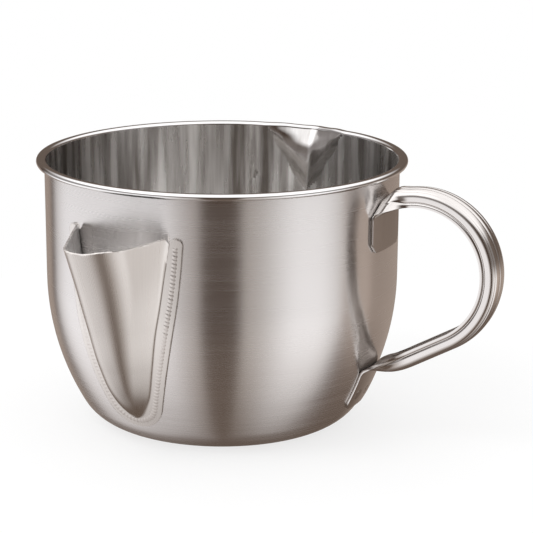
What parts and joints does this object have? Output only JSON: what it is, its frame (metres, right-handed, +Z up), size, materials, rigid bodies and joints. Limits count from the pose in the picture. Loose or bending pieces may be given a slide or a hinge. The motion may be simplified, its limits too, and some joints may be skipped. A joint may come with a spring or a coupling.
{
  "type": "candle melting pot",
  "caption": "Round stainless pouring pot with a rolled rim, a pressed pouring lip, a welded side spout fed from low on the bowl, and a fluted strap handle.",
  "frame": {"origin": "centre of the flat underside, on the bowl's axis", "axes": "+Z up along the bowl's axis, +X towards the handle; the pouring lip is near +Y and the side spout near -Y"},
  "size_m": [0.1821, 0.1689, 0.102],
  "materials": {
    "bowl_steel": "satin, brushed round the bowl outside and polished inside and on the rolled rim",
    "spout_steel": "satin",
    "handle_steel": "polished, with lengthwise grooves",
    "weld_steel": "welded, faintly heat tinted"
  },
  "bodies": {
    "root": {"pot_body": "bowl_steel", "side_spout": "spout_steel", "side_spout_seam_weld": "weld_steel", "handle": "handle_steel", "handle_upper_spot_welds": "weld_steel", "handle_lower_spot_welds": "weld_steel"}
  },
  "joints": []
}
